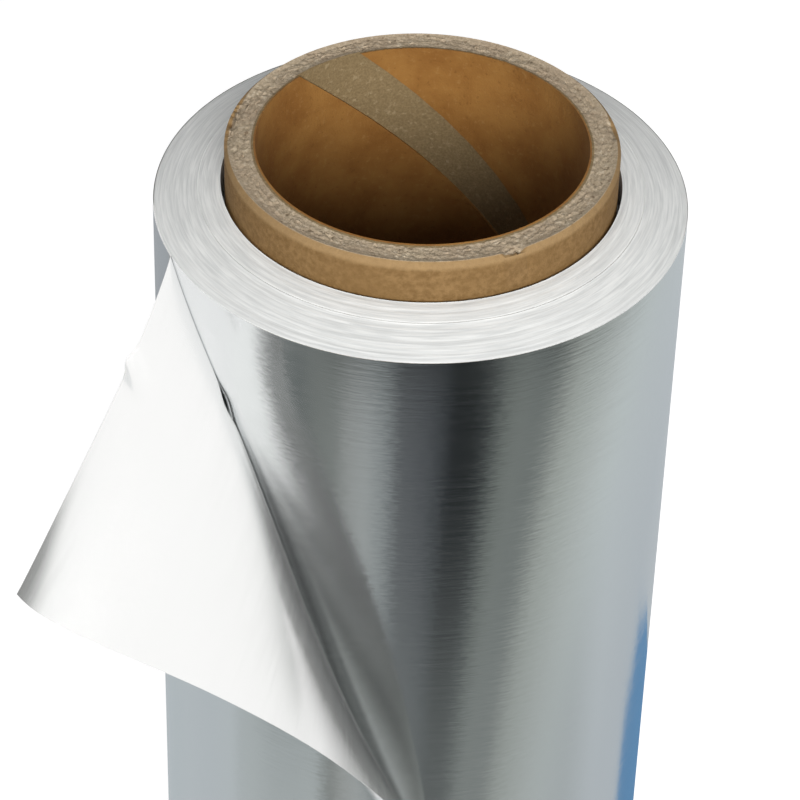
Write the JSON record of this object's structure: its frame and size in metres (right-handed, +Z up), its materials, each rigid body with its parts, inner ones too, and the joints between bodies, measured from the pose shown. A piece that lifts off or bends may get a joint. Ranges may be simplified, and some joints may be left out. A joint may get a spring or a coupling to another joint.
{
  "type": "aluminium foil roll",
  "caption": "Aluminium foil wound on a spiral cardboard core, standing on end, with the upper corner of its loose end folded back over the roll.",
  "frame": {"origin": "centre of the core's lower end", "axes": "+Z up along the roll's axis, -Y towards the front, where the sheet's loose end lies, +X to the right"},
  "size_m": [0.0733, 0.0743, 0.31],
  "materials": {
    "core_board": "matt brown and grey board",
    "foil": "bright rolled foil, one side satin"
  },
  "bodies": {
    "root": {"core": "core_board", "foil": "foil"}
  },
  "joints": []
}
